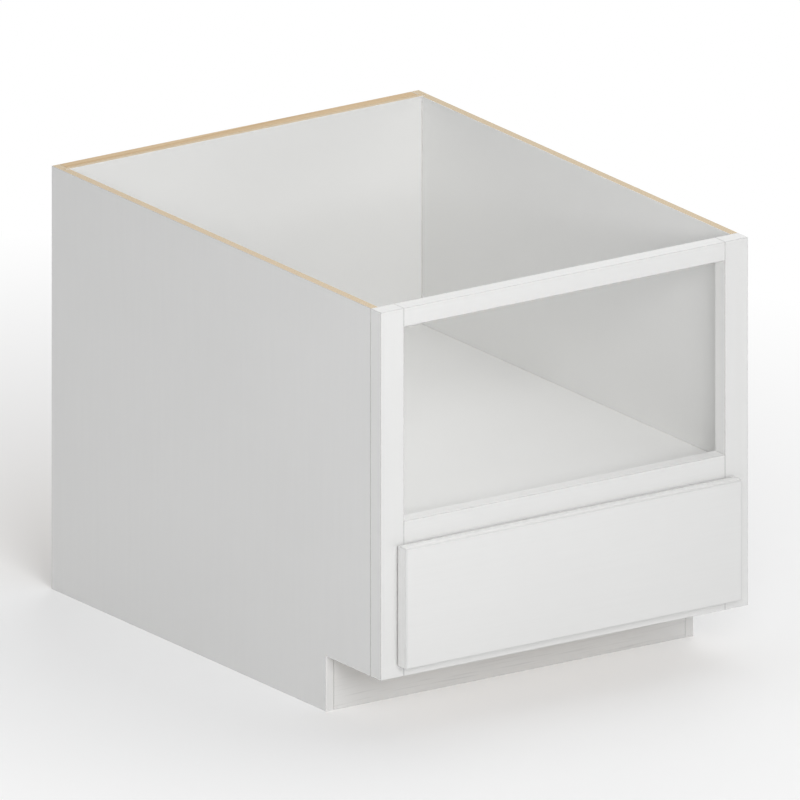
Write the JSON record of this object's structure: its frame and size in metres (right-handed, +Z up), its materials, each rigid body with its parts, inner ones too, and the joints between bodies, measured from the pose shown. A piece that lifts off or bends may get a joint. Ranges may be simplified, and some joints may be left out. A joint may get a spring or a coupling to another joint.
{
  "type": "microwave base cabinet",
  "caption": "Framed kitchen base cabinet with an open bay for a microwave oven above one full-width drawer on roller slides.",
  "frame": {"origin": "on the floor under the middle of the cabinet's overall box, drawer front included", "axes": "+Z up, the front faces -Y, +X to the right of a person who faces the front from outside"},
  "size_m": [0.6096, 0.6276, 0.8763],
  "materials": {
    "white_paint": "satin white lacquer over wood",
    "white_laminate": "white laminated plywood",
    "rail_wood": "unfinished plywood and softwood",
    "drawer_maple": "clear-lacquered maple",
    "coated_steel": "white epoxy-coated folded steel",
    "zinc_steel": "zinc-plated steel",
    "white_nylon": "moulded nylon",
    "socket_plastic": "moulded plastic",
    "bumper_vinyl": "soft clear vinyl"
  },
  "bodies": {
    "carcass": {"left_stile": "white_paint", "right_stile": "white_paint", "top_rail": "white_paint", "middle_rail": "white_paint", "bottom_rail": "white_paint", "left_end_panel": "white_paint", "right_end_panel": "white_paint", "back_panel": "white_laminate", "bottom_panel": "white_laminate", "microwave_shelf": "white_laminate", "toe_kick_board": "white_paint", "upper_hanging_rail": "rail_wood", "lower_hanging_rail": "rail_wood", "left_cabinet_rail": "coated_steel", "left_rear_socket": "socket_plastic", "left_front_axle": "zinc_steel", "right_cabinet_rail": "coated_steel", "right_rear_socket": "socket_plastic", "right_front_axle": "zinc_steel"},
    "drawer": {"drawer_front": "white_paint", "drawer_box_front": "drawer_maple", "drawer_box_back": "drawer_maple", "drawer_box_left": "drawer_maple", "drawer_box_right": "drawer_maple", "drawer_bottom": "drawer_maple", "left_drawer_runner": "coated_steel", "right_drawer_runner": "coated_steel", "left_rear_axle": "zinc_steel", "right_rear_axle": "zinc_steel", "drawer_front_screw_left_lower": "zinc_steel", "drawer_front_screw_left_upper": "zinc_steel", "drawer_front_screw_right_lower": "zinc_steel", "drawer_front_screw_right_upper": "zinc_steel", "bumper_left_lower": "bumper_vinyl", "bumper_left_upper": "bumper_vinyl", "bumper_right_lower": "bumper_vinyl", "bumper_right_upper": "bumper_vinyl"},
    "left_front_roller": {"left_front_roller": "white_nylon"},
    "right_front_roller": {"right_front_roller": "white_nylon"},
    "left_rear_roller": {"left_rear_roller": "white_nylon"},
    "right_rear_roller": {"right_rear_roller": "white_nylon"}
  },
  "joints": [
    {"name": "drawer_slide", "type": "slide", "parent": "carcass", "child": "drawer", "axis": [0, -1, 0], "range_m": [0, 0.405]},
    {"name": "left_front_roller_turn", "type": "hinge", "parent": "carcass", "child": "left_front_roller", "pos_m": [-0.261, -0.2678, 0.1746], "axis": [1, 0, 0], "range_deg": [0, 2250]},
    {"name": "right_front_roller_turn", "type": "hinge", "parent": "carcass", "child": "right_front_roller", "pos_m": [0.261, -0.2678, 0.1746], "axis": [1, 0, 0], "range_deg": [0, 2250]},
    {"name": "left_rear_roller_turn", "type": "hinge", "parent": "drawer", "child": "left_rear_roller", "pos_m": [-0.2597, 0.2385, 0.1746], "axis": [1, 0, 0], "range_deg": [0, 2250]},
    {"name": "right_rear_roller_turn", "type": "hinge", "parent": "drawer", "child": "right_rear_roller", "pos_m": [0.2597, 0.2385, 0.1746], "axis": [1, 0, 0], "range_deg": [0, 2250]}
  ],
  "couplings": [
    {"joint": "left_front_roller_turn", "follows": "drawer_slide", "rad_per_m": 95.238},
    {"joint": "right_front_roller_turn", "follows": "drawer_slide", "rad_per_m": 95.238},
    {"joint": "left_rear_roller_turn", "follows": "drawer_slide", "rad_per_m": 95.238},
    {"joint": "right_rear_roller_turn", "follows": "drawer_slide", "rad_per_m": 95.238}
  ]
}
